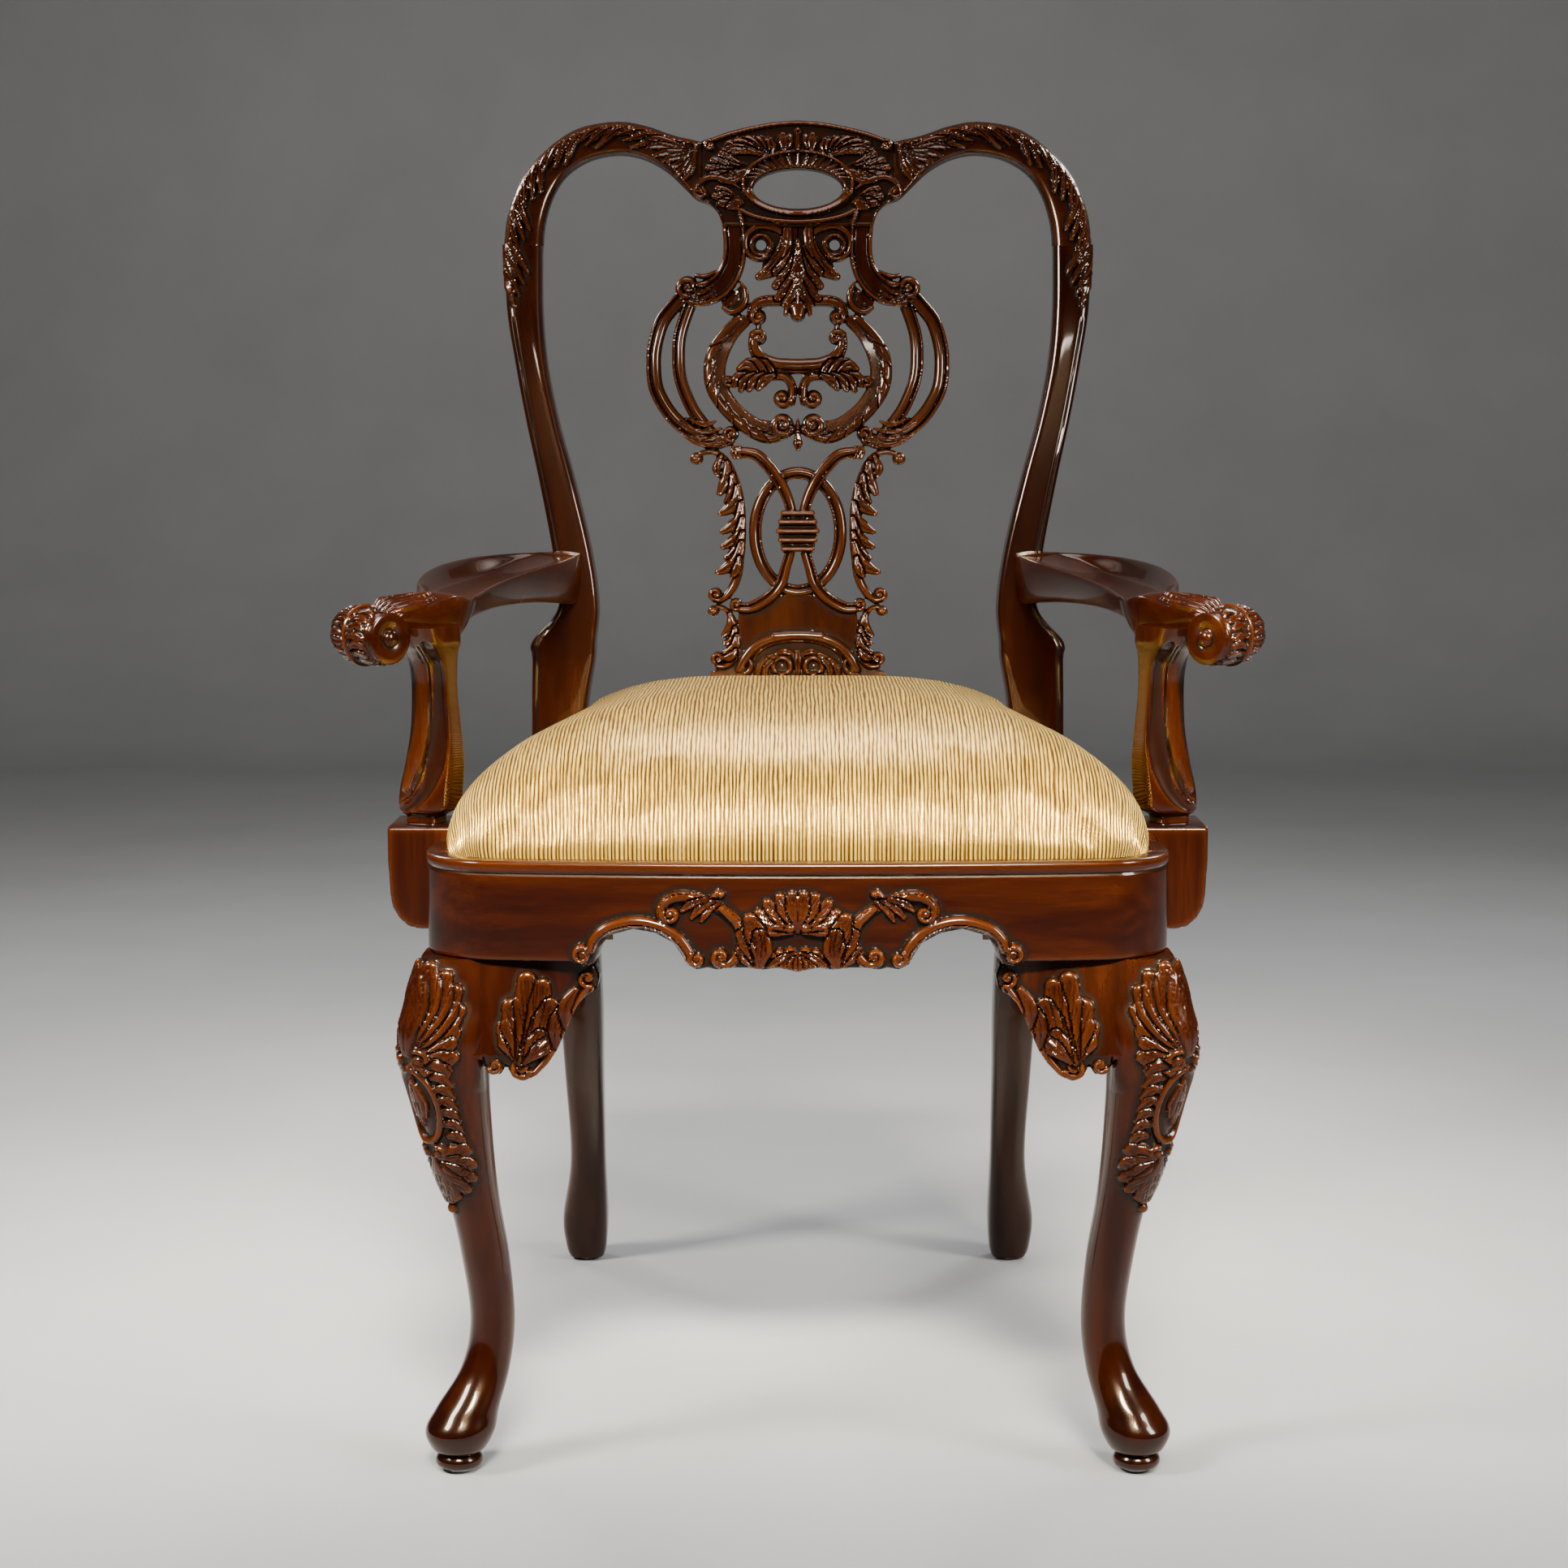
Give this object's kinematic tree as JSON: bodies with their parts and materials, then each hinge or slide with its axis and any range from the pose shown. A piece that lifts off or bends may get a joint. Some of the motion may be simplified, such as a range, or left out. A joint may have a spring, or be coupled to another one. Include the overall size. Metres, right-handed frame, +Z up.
{
  "type": "carved wooden armchair",
  "caption": "Carved mahogany open armchair with a pierced scrollwork splat, outswept scroll arms, cabriole front legs and a lift-out padded seat.",
  "frame": {"origin": "on the floor under the middle of the chair's bounding box", "axes": "+Z up; the chair faces -Y; +X is to the right seen from in front"},
  "size_m": [0.6686, 0.6394, 1.0093],
  "materials": {
    "mahogany": "polished, reddish brown with darker recesses",
    "secondary_wood": "plain sawn",
    "satin": "champagne-gold ribbed satin",
    "horsehair": "curled hair stuffing",
    "jute": "woven webbing",
    "cambric": "thin black dust cloth",
    "steel": "plain"
  },
  "bodies": {
    "frame": {"rear_post_left": "mahogany", "rear_post_right": "mahogany", "crest_rail": "mahogany", "splat": "mahogany", "splat_shoe": "mahogany", "rear_seat_rail": "mahogany", "side_seat_rail_left": "mahogany", "side_seat_rail_right": "mahogany", "front_seat_rail": "mahogany", "front_leg_left": "mahogany", "front_leg_right": "mahogany", "front_knee_block_left": "mahogany", "front_knee_block_right": "mahogany", "side_knee_block_left": "mahogany", "side_knee_block_right": "mahogany", "arm_left": "mahogany", "arm_right": "mahogany", "arm_support_left": "mahogany", "arm_support_right": "mahogany", "arm_block_left": "mahogany", "arm_block_right": "mahogany", "front_corner_block_left": "secondary_wood", "front_corner_block_right": "secondary_wood", "rear_corner_block_left": "secondary_wood", "rear_corner_block_right": "secondary_wood", "front_glide_left": "steel", "front_glide_right": "steel", "rear_glide_left": "steel", "rear_glide_right": "steel", "arm_screw_left": "steel", "arm_screw_right": "steel", "arm_block_screw_left_1": "steel", "arm_block_screw_right_1": "steel", "arm_block_screw_left_2": "steel", "arm_block_screw_right_2": "steel", "front_corner_screw_left_1": "steel", "front_corner_screw_right_1": "steel", "front_corner_screw_left_2": "steel", "front_corner_screw_right_2": "steel", "rear_corner_screw_left_1": "steel", "rear_corner_screw_right_1": "steel", "rear_corner_screw_left_2": "steel", "rear_corner_screw_right_2": "steel"},
    "seat": {"seat_frame_front": "secondary_wood", "seat_frame_rear": "secondary_wood", "seat_frame_side_left": "secondary_wood", "seat_frame_side_right": "secondary_wood", "seat_webbing": "jute", "seat_padding": "horsehair", "seat_cover": "satin", "seat_dust_cover": "cambric"}
  },
  "joints": [
    {"name": "seat_lift", "type": "slide", "parent": "frame", "child": "seat", "axis": [0, 0, 1], "range_m": [0, 0.09]}
  ]
}
